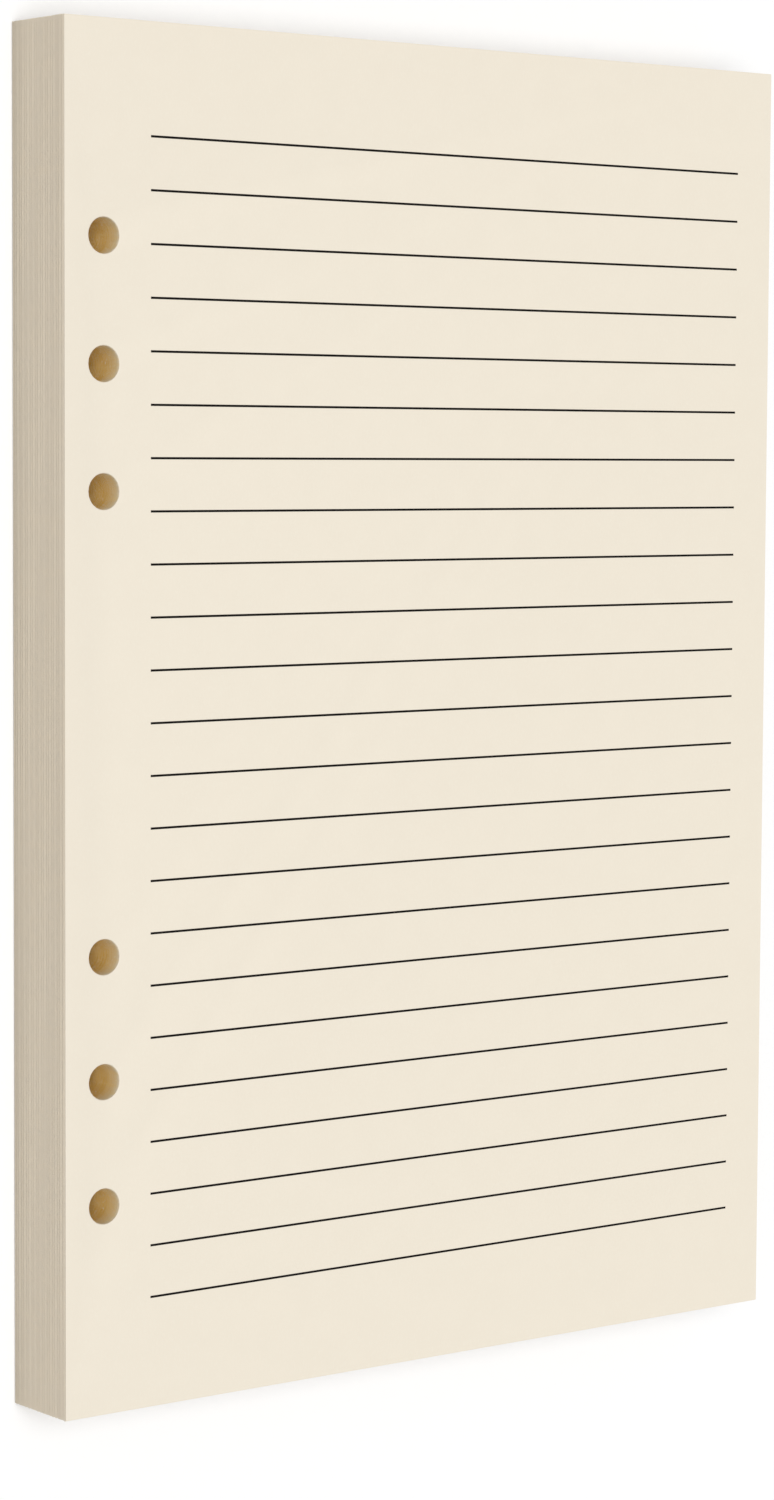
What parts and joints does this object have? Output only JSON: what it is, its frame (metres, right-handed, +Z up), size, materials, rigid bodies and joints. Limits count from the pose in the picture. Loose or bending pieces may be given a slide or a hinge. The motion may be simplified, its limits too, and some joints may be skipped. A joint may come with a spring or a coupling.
{
  "type": "ring binder refill paper",
  "caption": "Pad of loose ruled leaves with square corners, punched along one long edge with two groups of round holes for the rings of a binder.",
  "frame": {"origin": "middle of the back page, on which the pad lies", "axes": "+X from the punched edge to the fore edge, +Y from foot to head, +Z up out of the front page"},
  "size_m": [0.1422, 0.2102, 0.0144],
  "materials": {
    "page": "cream uncoated writing paper, matt",
    "ink": "printed black ink, matt"
  },
  "bodies": {
    "root": {"leaves": "page", "front_ruling": "ink", "back_ruling": "ink"}
  },
  "joints": []
}
